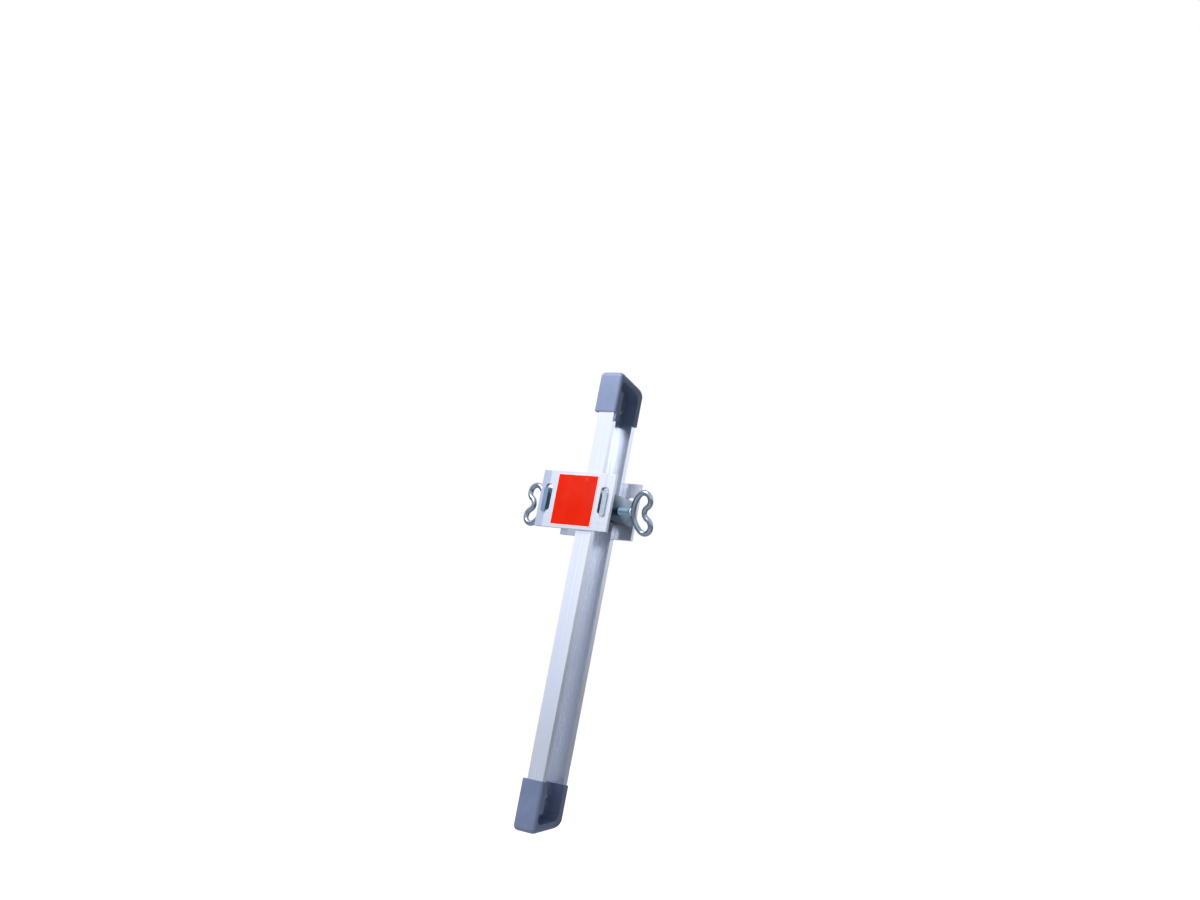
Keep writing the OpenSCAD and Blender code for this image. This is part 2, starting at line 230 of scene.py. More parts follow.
def bump(tree, skin, height, strength, depth):
    """Small relief of the surface, depth in metres."""
    relief = place(tree, "Bump", {"Height": height, "Strength": strength, "Distance": depth})
    tree.links.new(relief.outputs[0], skin["Normal"])


def metal_finish(name, dull, bright, rubbed, lines, smooth, rough):
    """Satin metal under a thin cloudy oxide: two tones along its lines, rubbed edges and scratches."""
    material, tree, skin = new_finish(name)
    skin["Metallic"].default_value = 0.88
    grain = group_in(tree, drawn_lines, {"Stretch": lines})
    marks = group_in(tree, hand_marks, {"Smudge size": 16.0, "Scratch size": 55.0})
    edge = group_in(tree, edge_rub, {"Amount": 0.7, "Breaks": 150.0})
    tone = blend_colours(tree, grain["Tone"], dull, bright)
    tone = blend_colours(tree, times(tree, marks["Smudge"], 0.12), tone, dull)
    tone = blend_colours(tree, times(tree, marks["Scratch"], 0.25), tone, rubbed)
    tree.links.new(blend_colours(tree, edge["Mask"], tone, rubbed), skin["Base Color"])
    gloss = spread(tree, grain["Tone"], 0.0, 1.0, rough, smooth)
    tree.links.new(plus(tree, gloss, times(tree, marks["Smudge"], 0.03)), skin["Roughness"])
    relief = plus(tree, grain["Height"], times(tree, marks["Scratch"], -0.2))
    bump(tree, skin, relief, 0.07, 0.00012)
    return material


plate_rounding = 0.0007
plate_finish = metal_finish("Satin plate aluminium", (0.70, 0.725, 0.80), (0.79, 0.815, 0.885),
                            (0.88, 0.89, 0.93), (9.0, 1100.0, 1100.0), 0.30, 0.40)
# The end away from the leg is painted darker and bluer: painted shade, where the band there faces away from
# the light
end_shade_full_to = -0.0315
end_shade_clear_from = -0.0300
tree = plate_finish.node_tree
skin = tree.nodes["Principled BSDF"].inputs
along = place(tree, "SeparateXYZ", {"Vector": object_place(tree)}).outputs["X"]
# Painted shade on the end away from the leg
painted_end_shade = spread(tree, along, end_shade_full_to, end_shade_clear_from, 0.75, 0.0)
unshaded_tone = skin["Base Color"].links[0].from_socket
tree.links.new(blend_colours(tree, painted_end_shade, unshaded_tone, (0.46, 0.52, 0.66)), skin["Base Color"])
for node in ("front_plate", "back_plate"):
    plate = round_edges(merged_copy(node, "dressed_" + node), plate_finish, plate_rounding)
    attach(plate, "clamp")
    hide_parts(node)


# Label
# A square of thick printed vinyl stuck on the front plate between the slots, orange red inside
# a narrow pale margin. Its face is plain, and its edges are a little grubby and scuffed.

def rounded_outline(low_x, low_z, high_x, high_z, radius, steps=6):
    """Points of a rectangle with rounded corners in X and Z, going round once."""
    points = []
    corners = ((high_x, low_z, -90), (high_x, high_z, 0), (low_x, high_z, 90), (low_x, low_z, 180))
    for x, z, start in corners:
        middle_x = x - radius if x == high_x else x + radius
        middle_z = z - radius if z == high_z else z + radius
        for step in range(steps + 1):
            angle = math.radians(start + 90 * step / steps)
            points.append((middle_x + radius * math.cos(angle), middle_z + radius * math.sin(angle)))
    return points


low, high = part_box("front_label")
margin = 0.0016
label_corner = 0.0025
label_rounding = 0.00012
# Rings from the stuck side to the ink's edge, each with its depth and its inset
ring_places = ((high.y, 0.0), (low.y + label_rounding, 0.0), (low.y, label_rounding), (low.y, margin))
rings = []
shape = bmesh.new()
ink = shape.faces.layers.float.new("ink")
for depth, inset in ring_places:
    outline = rounded_outline(low.x + inset, low.z + inset, high.x - inset, high.z - inset,
                              label_corner - inset)
    rings.append([shape.verts.new((x, depth, z)) for x, z in outline])
for outer, inner in zip(rings, rings[1:]):
    count = len(outer)
    for i in range(count):
        shape.faces.new((outer[i], outer[(i + 1) % count], inner[(i + 1) % count], inner[i]))
shape.faces.new(rings[0])
shape.faces.new(rings[-1])[ink] = 1.0
bmesh.ops.recalc_face_normals(shape, faces=shape.faces)
mesh = bpy.data.meshes.new("dressed_label")
shape.to_mesh(mesh)
shape.free()
label = put("dressed_label", mesh)

vinyl, tree, skin = new_finish("Printed vinyl")
marks = group_in(tree, hand_marks, {"Smudge size": 26.0, "Scratch size": 70.0})
printed = place(tree, "Attribute", attribute_name="ink").outputs["Fac"]
here = object_place(tree)
mottle = place(tree, "TexNoise", {"Vector": here, "Scale": 45.0, "Detail": 6.0}).outputs["Fac"]
speck = place(tree, "TexNoise", {"Vector": here, "Scale": 2600.0, "Detail": 1.0}).outputs["Fac"]
red = blend_colours(tree, spread(tree, mottle, 0.3, 0.7), (0.70, 0.014, 0.003), (0.75, 0.019, 0.004))
red = blend_colours(tree, spread(tree, speck, 0.5, 0.75, 0.0, 0.15), red, (0.80, 0.045, 0.013))
pale = blend_colours(tree, spread(tree, mottle, 0.4, 0.65), (0.80, 0.78, 0.79), (0.70, 0.66, 0.67))
sheet = blend_colours(tree, printed, pale, red)
sheet = blend_colours(tree, times(tree, marks["Scratch"], 0.05), sheet, (0.86, 0.52, 0.46))
sheet = blend_colours(tree, times(tree, marks["Smudge"], 0.10), sheet, (0.30, 0.10, 0.07))
tree.links.new(sheet, skin["Base Color"])
skin["Specular IOR Level"].default_value = 0.06
tree.links.new(spread(tree, marks["Smudge"], 0.0, 1.0, 0.36, 0.52), skin["Roughness"])
bump(tree, skin, plus(tree, times(tree, speck, 0.3), mottle), 0.15, 0.0002)
label.data.materials.append(vinyl)
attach(label, "clamp")
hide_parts("front_label")


# Spacer block
# A moulded black plastic block screwed to the front plate. It parts the leg from the clamp's
# pocket, and the leg slides against its plain side.

moulded_grain, given, out = shader_group(
    "Moulded grain", [("Grain size", "Float", 1800.0), ("Flow size", "Float", 30.0)], ["Height", "Flow"])
here = object_place(moulded_grain)
pits = place(moulded_grain, "TexVoronoi", {"Vector": here, "Scale": given["Grain size"]}).outputs["Distance"]
flow = place(moulded_grain, "TexNoise", {"Vector": here, "Scale": given["Flow size"], "Detail": 4.0,
                                         "Distortion": 0.6}).outputs["Fac"]
moulded_grain.links.new(pits, out["Height"])
moulded_grain.links.new(spread(moulded_grain, flow, 0.3, 0.7), out["Flow"])


def moulded_finish(name, dark, light, rubbed, grain_size, smooth, rough, relief, wear):
    """Moulded plastic or rubber: a fine grain, faint flow marks and rubbed edges."""
    material, tree, skin = new_finish(name)
    grain = group_in(tree, moulded_grain, {"Grain size": grain_size, "Flow size": 28.0})
    marks = group_in(tree, hand_marks, {"Smudge size": 22.0, "Scratch size": 65.0})
    edge = group_in(tree, edge_rub, {"Amount": wear, "Breaks": 110.0})
    tone = blend_colours(tree, grain["Flow"], dark, light)
    tone = blend_colours(tree, times(tree, marks["Smudge"], 0.18), tone, dark)
    tone = blend_colours(tree, times(tree, marks["Scratch"], 0.20), tone, rubbed)
    tree.links.new(blend_colours(tree, edge["Mask"], tone, rubbed), skin["Base Color"])
    tree.links.new(spread(tree, marks["Smudge"], 0.0, 1.0, smooth, rough), skin["Roughness"])
    bump(tree, skin, grain["Height"], relief, 0.00015)
    return material


black_plastic = moulded_finish("Black moulded plastic", (0.020, 0.022, 0.026), (0.034, 0.036, 0.042),
                               (0.11, 0.115, 0.125), 1500.0, 0.42, 0.58, 0.25, 0.5)
block = round_edges(merged_copy("spacer_block", "dressed_spacer"), black_plastic, 0.0008)
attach(block, "clamp")
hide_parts("spacer_block")


# Rubber facings
# Sheets of black rubber with ribs across them, glued to the spacer's side in the pocket and to
# the two pressure pads. The ribs' crowns lie on the face that grips.

def socket_named(tree, label):
    """The identifier of a tree's input, which a modifier goes by."""
    for item in tree.interface.items_tree:
        if item.item_type == "SOCKET" and item.in_out == "INPUT" and item.name == label:
            return item.identifier


def nodes_tree(name, inputs):
    """An empty geometry tree with named inputs after its geometry."""
    tree = bpy.data.node_groups.new(name, "GeometryNodeTree")
    tree.interface.new_socket("Geometry", in_out="INPUT", socket_type="NodeSocketGeometry")
    for label, kind, value in inputs:
        socket = tree.interface.new_socket(label, in_out="INPUT", socket_type="NodeSocket" + kind)
        if value is not None:
            socket.default_value = value
    tree.interface.new_socket("Geometry", in_out="OUTPUT", socket_type="NodeSocketGeometry")
    return tree, tree.nodes.new("NodeGroupInput").outputs, tree.nodes.new("NodeGroupOutput").inputs


def step(tree, kind, inputs=None, **settings):
    """A geometry node with its settings, and its inputs set or linked."""
    made = tree.nodes.new(kind)
    for name, value in settings.items():
        setattr(made, name, value)
    for name, value in (inputs or {}).items():
        if isinstance(value, bpy.types.NodeSocket):
            tree.links.new(value, made.inputs[name])
        else:
            made.inputs[name].default_value = value
    return made.outputs


def close_tree(tree, shape, finish, out):
    """Every tree ends in Realize Instances and Set Material."""
    real = step(tree, "GeometryNodeRealizeInstances", {"Geometry": shape})["Geometry"]
    dressed = step(tree, "GeometryNodeSetMaterial", {"Geometry": real, "Material": finish})["Geometry"]
    tree.links.new(dressed, out["Geometry"])


def grown(piece, tree, values):
    """Runs a geometry tree on a piece and keeps the result as a plain mesh."""
    modifier = piece.modifiers.new(tree.name, "NODES")
    modifier.node_group = tree
    for label, value in values.items():
        modifier[socket_named(tree, label)] = value
    piece.update_tag()
    return made_mesh(piece)


def bar_between(low, high, rounding, steps=2):
    """A rounded bar as a mesh, between two corners."""
    shape = bmesh.new()
    bmesh.ops.create_cube(shape, size=1.0)
    size = Vector(high) - Vector(low)
    middle = (Vector(high) + Vector(low)) / 2
    placed = Matrix.Translation(middle) @ Matrix.Diagonal((*size, 1.0))
    bmesh.ops.transform(shape, matrix=placed, verts=shape.verts)
    bmesh.ops.bevel(shape, geom=shape.edges, offset=rounding, segments=steps, affect="EDGES", profile=0.5)
    bmesh.ops.recalc_face_normals(shape, faces=shape.faces)
    mesh = bpy.data.meshes.new("bar")
    shape.to_mesh(mesh)
    shape.free()
    return mesh


# The tree repeats the rib that it is given up the sheet, and lays the sheet behind the ribs
ribbed_rubber, given, out = nodes_tree("Ribbed rubber", [
    ("Ribs", "Int", 12), ("Pitch", "Float", 0.0025), ("Sheet low", "Vector", (0.0, 0.0, 0.0)),
    ("Sheet size", "Vector", (1.0, 1.0, 1.0)), ("Finish", "Material", None)])
climb = step(ribbed_rubber, "ShaderNodeCombineXYZ", {"Z": given["Pitch"]})["Vector"]
row = step(ribbed_rubber, "GeometryNodeMeshLine", {"Count": given["Ribs"], "Offset": climb})["Mesh"]
ribs = step(ribbed_rubber, "GeometryNodeInstanceOnPoints", {"Points": row, "Instance": given["Geometry"]})
sheet_box = step(ribbed_rubber, "GeometryNodeMeshCube", {"Size": given["Sheet size"]})["Mesh"]
half = step(ribbed_rubber, "ShaderNodeVectorMath", {0: given["Sheet size"], 3: 0.5},
            operation="SCALE")["Vector"]
centre = step(ribbed_rubber, "ShaderNodeVectorMath", {0: given["Sheet low"], 1: half},
              operation="ADD")["Vector"]
sheet_there = step(ribbed_rubber, "GeometryNodeTransform", {"Geometry": sheet_box, "Translation": centre})
both = ribbed_rubber.nodes.new("GeometryNodeJoinGeometry")
ribbed_rubber.links.new(ribs["Instances"], both.inputs[0])
ribbed_rubber.links.new(sheet_there["Geometry"], both.inputs[0])
close_tree(ribbed_rubber, both.outputs[0], given["Finish"], out)

black_rubber = moulded_finish("Black ribbed rubber", (0.012, 0.012, 0.013), (0.022, 0.022, 0.024),
                              (0.060, 0.060, 0.064), 2400.0, 0.62, 0.80, 0.35, 0.0)
rib_pitch = 0.0030
rib_depth = 0.0009
rib_rounding = 0.0004
# Each facing grips towards the low or the high side of X
for node, body, grips_low in (("rail_grip_pad", "clamp", True), ("leg_pad_facing", "leg_pad", True),
                              ("rail_pad_facing", "rail_pad", False)):
    low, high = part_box(node)
    count = int((high.z - low.z) / rib_pitch)
    spare = (high.z - low.z - count * rib_pitch) / 2
    face = low.x if grips_low else high.x - 2 * rib_depth
    rib_low = (face, low.y, low.z + spare + 0.2 * rib_pitch)
    rib_high = (face + 2 * rib_depth, high.y, low.z + spare + 0.8 * rib_pitch)
    facing = put("dressed_" + node, bar_between(rib_low, rib_high, rib_rounding))
    sheet_low = (low.x + rib_depth if grips_low else low.x, low.y, low.z)
    sheet_size = (high.x - low.x - rib_depth, high.y - low.y, high.z - low.z)
    grown(facing, ribbed_rubber, {"Ribs": count, "Pitch": rib_pitch, "Sheet low": sheet_low,
                                  "Sheet size": sheet_size, "Finish": black_rubber})
    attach(facing, body)
    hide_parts(node)


# Spacer screws
# Two small countersunk screws with a hexagon socket, from the front plate into the spacer.
# The label covers their heads, so they keep their plain solids.

def zinc_finish(name, cold, warm, shine, smooth, rough):
    """Bright zinc plating: a soft spangle between a cold and a warm grey, with rubbed edges."""
    material, tree, skin = new_finish(name)
    skin["Metallic"].default_value = 1.0
    here = object_place(tree)
    marks = group_in(tree, hand_marks, {"Smudge size": 45.0, "Scratch size": 120.0})
    edge = group_in(tree, edge_rub, {"Amount": 0.6, "Breaks": 260.0})
    cells = place(tree, "TexVoronoi", {"Vector": here, "Scale": 420.0}).outputs["Color"]
    spangle = place(tree, "SeparateColor", {"Color": cells}).outputs[0]
    cloud = place(tree, "TexNoise", {"Vector": here, "Scale": 60.0, "Detail": 5.0}).outputs["Fac"]
    mixed = spread(tree, plus(tree, times(tree, spangle, 0.12), cloud), 0.32, 0.80)
    tone = blend_colours(tree, mixed, cold, warm)
    tone = blend_colours(tree, times(tree, marks["Scratch"], 0.3), tone, shine)
    tree.links.new(blend_colours(tree, edge["Mask"], tone, shine), skin["Base Color"])
    gloss = plus(tree, spread(tree, spangle, 0.0, 1.0, smooth, rough), times(tree, marks["Smudge"], 0.10))
    tree.links.new(gloss, skin["Roughness"])
    bump(tree, skin, plus(tree, cloud, times(tree, spangle, 0.05)), 0.12, 0.0002)
    return material


zinc = zinc_finish("Bright zinc plate", (0.235, 0.29, 0.36), (0.33, 0.385, 0.45),
                   (0.58, 0.63, 0.68), 0.22, 0.32)
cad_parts["spacer_screws"].data.materials.clear()
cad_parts["spacer_screws"].data.materials.append(zinc)


# Cross bars
# Two zinc plated steel bars, one beyond the leg and one beyond the pocket. Their notched ends pass
# through the plates' slots and hook over the slots' lower ends, and a clamp screw runs through each.

def bar_finish(name, cold, warm, shine):
    """Zinc plate with painted shade between the plates, darkest low and in front, where the front plate
    shades the bar.
    """
    material = zinc_finish(name, cold, warm, shine, 0.32, 0.44)
    tree = material.node_tree
    skin = tree.nodes["Principled BSDF"].inputs
    here = object_place(tree)
    split = place(tree, "SeparateXYZ", {"Vector": here}).outputs
    shade_noise = place(tree, "TexNoise", {"Vector": here, "Scale": 90.0, "Detail": 4.0}).outputs["Fac"]
    shade_wobble = times(tree, shade_noise, 0.010)
    # Painted shade between the plates, a blue black that is darkest low and near the front plate, where that
    # plate's overhang shades the bar
    inside = place(tree, "Math", {0: split["Y"]}, operation="ABSOLUTE").outputs[0]
    between = spread(tree, plus(tree, inside, shade_wobble), 0.026, 0.032, 1.0, 0.0)
    run = plus(tree, plus(tree, split["Y"], split["Z"]), shade_wobble)
    bar_shade_mask = times(tree, between, spread(tree, run, -0.006, 0.024, 0.96, 0.03))
    unshaded_tone = skin["Base Color"].links[0].from_socket
    tree.links.new(blend_colours(tree, bar_shade_mask, unshaded_tone, (0.045, 0.075, 0.105)), skin["Base Color"])
    return material


leg_bar_zinc = bar_finish("Zinc plated bar", (0.40, 0.48, 0.57), (0.52, 0.59, 0.65),
                          (0.74, 0.78, 0.82))
# The bar beyond the pocket is a darker, bluer copy of the same zinc: painted shade
shaded_rail_bar_zinc = bar_finish("Zinc plated bar with painted shade", (0.19, 0.28, 0.40), (0.25, 0.35, 0.46),
                           (0.46, 0.54, 0.62))
for node, finish in (("leg_side_bar", leg_bar_zinc), ("rail_side_bar", shaded_rail_bar_zinc)):
    bar = round_edges(merged_copy(node, "dressed_" + node), finish, 0.0008)
    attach(bar, "clamp")
    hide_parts(node)


# Leg
# A C-shaped aluminium extrusion, open on its outer side, with a plain mill finish
# that carries the die's lines along its length and a few rubs where the clamp slides.

leg_finish = metal_finish("Mill finish leg aluminium", (0.80, 0.835, 0.94), (0.88, 0.91, 0.975),
                          (0.89, 0.925, 0.97), (1000.0, 1000.0, 0.7), 0.20, 0.28)
leg = round_edges(merged_copy("leg_channel", "dressed_leg"), leg_finish, 0.0007)
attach(leg, "leg")
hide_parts("leg_channel")


# Boots
# Two like mouldings of tough blue grey rubber over the leg's ends, the lower one as the foot.
# Each is open on the leg's open side, has a slanted sole and is held by two rivets.

boot_finish = moulded_finish("Blue grey boot rubber", (0.160, 0.208, 0.350), (0.200, 0.252, 0.405),
                             (0.32, 0.38, 0.50), 1700.0, 0.50, 0.66, 0.30, 0.40)
# Radii that the mould gives the heel, the toe, the sole's sides and the upright edges
edge_radii = {"heel": 0.016, "toe": 0.0088, "side": 0.0078, "upright": 0.0052}
largest_radius = max(edge_radii.values())
sole_slant = math.radians(14.5)


def boot_hull(name, low, high, down):
    """A wedge with a slanted sole and soft edges, a hair larger than the boot. Down is 1 for a foot."""
    spare = 0.00005
    rim_overrun = 0.03
    toe = (low.z if down > 0 else high.z) - down * spare
    heel = toe + down * (high.y - low.y + 2 * spare) * math.tan(sole_slant)
    rim = (high.z if down > 0 else low.z) + down * rim_overrun
    shape = bmesh.new()
    weight = shape.edges.layers.float.new("bevel_weight_edge")
    corners = {}
    for x in (low.x - spare, high.x + spare):
        for y, end in ((low.y - spare, toe), (high.y + spare, heel)):
            corners[x, y, "sole"] = shape.verts.new((x, y, end))
            corners[x, y, "rim"] = shape.verts.new((x, y, rim))
    bmesh.ops.convex_hull(shape, input=shape.verts)
    bmesh.ops.dissolve_limit(shape, angle_limit=math.radians(1), verts=shape.verts, edges=shape.edges)
    kinds = {vert: key for key, vert in corners.items()}
    for edge in shape.edges:
        first, second = (kinds[vert] for vert in edge.verts)
        if first[2] != second[2]:
            edge[weight] = edge_radii["upright"] / largest_radius
        elif first[2] == "sole" and first[1] != second[1]:
            edge[weight] = edge_radii["side"] / largest_radius
        elif first[2] == "sole":
            edge[weight] = edge_radii["toe" if first[1] < 0 else "heel"] / largest_radius
    bmesh.ops.recalc_face_normals(shape, faces=shape.faces)
    mesh = bpy.data.meshes.new(name)
    shape.to_mesh(mesh)
    shape.free()
    hull = put(name, mesh)
    rounding = hull.modifiers.new("Soft edges", "BEVEL")
    rounding.width = largest_radius
    rounding.segments = 8
    rounding.limit_method = "WEIGHT"
    made_mesh(hull)
    return hull


for node, down in (("foot_boot", 1), ("top_boot", -1)):
    hull = boot_hull("boot_hull", *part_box(node), down)
    boot = merged_copy(node, "dressed_" + node)
    trim = boot.modifiers.new("Trim to hull", "BOOLEAN")
    trim.operation = "INTERSECT"
    trim.solver = "EXACT"
    trim.object = hull
    boot.data = whole_faces(made_mesh(boot), boot.name)
    bpy.data.objects.remove(hull)
    round_edges(boot, boot_finish, 0.0008)
    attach(boot, "leg")
    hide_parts(node)


# Boot rivets
# Two solid aluminium rivets through each boot and the leg's web, with a domed head let into the
# boot's outer side and a domed tail that shows in the boot's opening.

def turned_mesh(name, profile, sides=40):
    """A closed shape turned about X through (along, radius) points, from end to end."""
    shape = bmesh.new()
    rings = []
    for along, radius in profile:
        if radius == 0:
            rings.append([shape.verts.new((along, 0, 0))])
            continue
        turns = [2 * math.pi * i / sides for i in range(sides)]
        rings.append([shape.verts.new((along, radius * math.cos(a), radius * math.sin(a))) for a in turns])
    for first, second in zip(rings, rings[1:]):
        for i in range(sides):
            j = (i + 1) % sides
            corners = ((first, i), (first, j), (second, j), (second, i))
            around = [ring[k % len(ring)] for ring, k in corners]
            shape.faces.new(list(dict.fromkeys(around)))
    bmesh.ops.recalc_face_normals(shape, faces=shape.faces)
    mesh = bpy.data.meshes.new(name)
    shape.to_mesh(mesh)
    shape.free()
    return mesh


# The tree sets the rivet that it is given along a row
rivet_row, given, out = nodes_tree("Rivet row", [
    ("Start", "Vector", (0.0, 0.0, 0.0)), ("Pitch", "Vector", (0.0, 0.022, 0.0)), ("Count", "Int", 2),
    ("Finish", "Material", None)])
row = step(rivet_row, "GeometryNodeMeshLine", {"Count": given["Count"], "Start Location": given["Start"],
                                               "Offset": given["Pitch"]})["Mesh"]
rivets = step(rivet_row, "GeometryNodeInstanceOnPoints", {"Points": row, "Instance": given["Geometry"]})
close_tree(rivet_row, rivets["Instances"], given["Finish"], out)

# The rivets' dark tone is painted shade, so that they sit in the boot's dark opening
rivet_finish = zinc_finish("Rivet aluminium", (0.15, 0.17, 0.20), (0.21, 0.23, 0.27),
                           (0.30, 0.32, 0.35), 0.52, 0.66)
rivet_radius = 0.0045
shank_radius = 0.0025
head_length = 0.0025
millimetre = 0.001
# Each dome as distances from the rivet's end in millimetres, with the share of the radius there
head_dome = [(0.30, 0.0), (0.32, 0.25), (0.42, 0.50), (0.60, 0.74), (0.85, 0.92), (1.05, 0.985), (1.3, 1.0)]
tail_dome = [(1.3, 1.0), (0.7, 0.93), (0.25, 0.72), (0.05, 0.42), (0.0, 0.2), (0.0, 0.0)]
for node in ("foot_boot_rivets", "top_boot_rivets"):
    low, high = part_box(node)
    length = high.x - low.x
    profile = [(away * millimetre, share * rivet_radius) for away, share in head_dome]
    profile += [(head_length, rivet_radius), (head_length, shank_radius)]
    profile += [(length - head_length, shank_radius), (length - head_length, rivet_radius)]
    profile += [(length - away * millimetre, share * rivet_radius) for away, share in tail_dome]
    rivet = put("dressed_" + node, turned_mesh("rivet", profile))
    start = (low.x, low.y + rivet_radius, (low.z + high.z) / 2)
    pitch = (0.0, high.y - low.y - 2 * rivet_radius, 0.0)
    mesh = grown(rivet, rivet_row, {"Start": start, "Pitch": pitch, "Count": 2, "Finish": rivet_finish})
    mesh.polygons.foreach_set("use_smooth", [True] * len(mesh.polygons))
    mesh.set_sharp_from_angle(angle=math.radians(40))
    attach(rivet, "leg")
    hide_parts(node)


# Pressure pads
# Zinc plated steel plates that the screws push against the leg and into the pocket. A ring
# in a groove near the screw's tip keeps each pad on its screw, so it follows as the screw turns.

# The pads share the leg bar's finish, with its painted shade between the plates, darkest low and in front
for side in ("leg", "rail"):
    pad = round_edges(merged_copy(side + "_pressure_pad", "dressed_" + side + "_pad"), leg_bar_zinc, 0.0006)
    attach(pad, side + "_pad")
    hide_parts(side + "_pressure_pad")
    clip = round_edges(merged_copy(side + "_pad_clip", "dressed_" + side + "_clip"), zinc, 0.0002, 2)
    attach(clip, side + "_pad")
    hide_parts(side + "_pad_clip")


# Clamp screws
# M10 studs with a rolled thread, zinc plated. The plain turned tip carries the pad, and the outer
# end is welded into the wire loop that turns it.

# The tree winds a ridge round the stud that it is given, along X
screw_thread, given, out = nodes_tree("Screw thread", [
    ("Start", "Vector", (0.0, 0.0, 0.0)), ("Length", "Float", 0.03), ("Pitch", "Float", 0.0015),
    ("Root radius", "Float", 0.0042), ("Ridge", "Float", 0.0008), ("Finish", "Material", None)])
turns = step(screw_thread, "ShaderNodeMath", {0: given["Length"], 1: given["Pitch"]},
             operation="DIVIDE")["Value"]
middle_radius = step(screw_thread, "ShaderNodeMath", {0: given["Ridge"], 1: 0.25, 2: given["Root radius"]},
                     operation="MULTIPLY_ADD")["Value"]
helix = step(screw_thread, "GeometryNodeCurveSpiral", {
    "Resolution": 28, "Rotations": turns, "Start Radius": middle_radius, "End Radius": middle_radius,
    "Height": given["Length"]})["Curve"]
upright = step(screw_thread, "GeometryNodeSetCurveNormal", {"Curve": helix}, mode="Z_UP")["Curve"]
flank = step(screw_thread, "GeometryNodeCurvePrimitiveQuadrilateral", {
    "Width": given["Ridge"], "Height": given["Ridge"]}, mode="RECTANGLE")["Curve"]
on_point = step(screw_thread, "GeometryNodeTransform", {
    "Geometry": flank, "Rotation": (0.0, 0.0, math.radians(45))})["Geometry"]
ridge = step(screw_thread, "GeometryNodeCurveToMesh", {
    "Curve": upright, "Profile Curve": on_point, "Fill Caps": True})["Mesh"]
along = step(screw_thread, "GeometryNodeTransform", {
    "Geometry": ridge, "Translation": given["Start"], "Rotation": (0.0, math.radians(90), 0.0)})["Geometry"]
both = screw_thread.nodes.new("GeometryNodeJoinGeometry")
screw_thread.links.new(along, both.inputs[0])
screw_thread.links.new(given["Geometry"], both.inputs[0])
close_tree(screw_thread, both.outputs[0], given["Finish"], out)

blue_zinc = zinc_finish("Blue zinc plate", (0.20, 0.35, 0.49), (0.30, 0.46, 0.58),
                        (0.60, 0.68, 0.74), 0.30, 0.42)
screw_z = (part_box("leg_screw")[0].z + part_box("leg_screw")[1].z) / 2
thread_pitch = 0.0015
thread_root = 0.0042
thread_ridge = 0.0011
# The plain tip and its groove, where the thread starts and ends, and where the stud swells to
# its welded end, all as distances from the tip or from the weld
tip_radius = 0.0035
tip_chamfer = 0.0005
groove_radius = 0.0027
groove = (0.0026, 0.0036)
tip_length = 0.0040
shoulder_radius = 0.0044
thread_from = 0.0046
thread_before_weld = 0.0040
weld_end_radius = 0.0047
swell = (0.0045, 0.0030)
for side, sign in (("leg", 1), ("rail", -1)):
    low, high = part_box(side + "_screw")
    tip = low.x if sign > 0 else high.x
    length = high.x - low.x
    # Distances are measured from the tip outwards
    profile = [(0.0, 0.0), (0.0, tip_radius - tip_chamfer), (tip_chamfer, tip_radius)]
    profile += [(groove[0], tip_radius), (groove[0], groove_radius)]
    profile += [(groove[1], groove_radius), (groove[1], tip_radius)]
    profile += [(tip_length, tip_radius), (tip_length, shoulder_radius), (thread_from, thread_root)]
    profile += [(length - swell[0], thread_root), (length - swell[1], weld_end_radius)]
    profile += [(length, weld_end_radius), (length, 0.0)]
    stud = put("dressed_" + side + "_screw", turned_mesh("stud", [(tip + sign * a, r) for a, r in profile]))
    stud.data.transform(Matrix.Translation((0.0, 0.0, screw_z)))
    thread_length = length - thread_from - thread_before_weld
    thread_start = tip + thread_from if sign > 0 else tip - thread_from - thread_length
    mesh = grown(stud, screw_thread, {
        "Start": (thread_start, 0.0, screw_z), "Length": thread_length, "Pitch": thread_pitch,
        "Root radius": thread_root, "Ridge": thread_ridge, "Finish": blue_zinc})
    mesh.polygons.foreach_set("use_smooth", [True] * len(mesh.polygons))
    mesh.set_sharp_from_angle(angle=math.radians(35))
    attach(stud, side + "_clamp_screw")
    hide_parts(side + "_screw")


# Wire loops
# Handles bent from 8 mm steel wire into a closed loop with two lobes and a dent between them,
# welded to the stud at the middle of the back and then zinc plated.

# The tree sweeps a round wire along the closed path that it is given
bent_wire, given, out = nodes_tree("Bent wire", [
    ("Wire radius", "Float", 0.004), ("Sides", "Int", 28), ("Finish", "Material", None)])
section = step(bent_wire, "GeometryNodeCurvePrimitiveCircle", {
    "Resolution": given["Sides"], "Radius": given["Wire radius"]})["Curve"]
path = step(bent_wire, "GeometryNodeMeshToCurve", {"Mesh": given["Geometry"]})["Curve"]
wire = step(bent_wire, "GeometryNodeCurveToMesh", {"Curve": path, "Profile Curve": section})["Mesh"]
smooth = step(bent_wire, "GeometryNodeSetShadeSmooth", {"Geometry": wire})["Geometry"]
close_tree(bent_wire, smooth, given["Finish"], out)

wire_radius = 0.004
wire_sides = 28
lobe_radius = 0.011
dent_depth = 0.011
# The weld's thickness, how far it sits from the loop's back, and how far it runs along the wire
bead_radius = 0.0019
bead_seat = 0.0009
bead_run = 0.0012


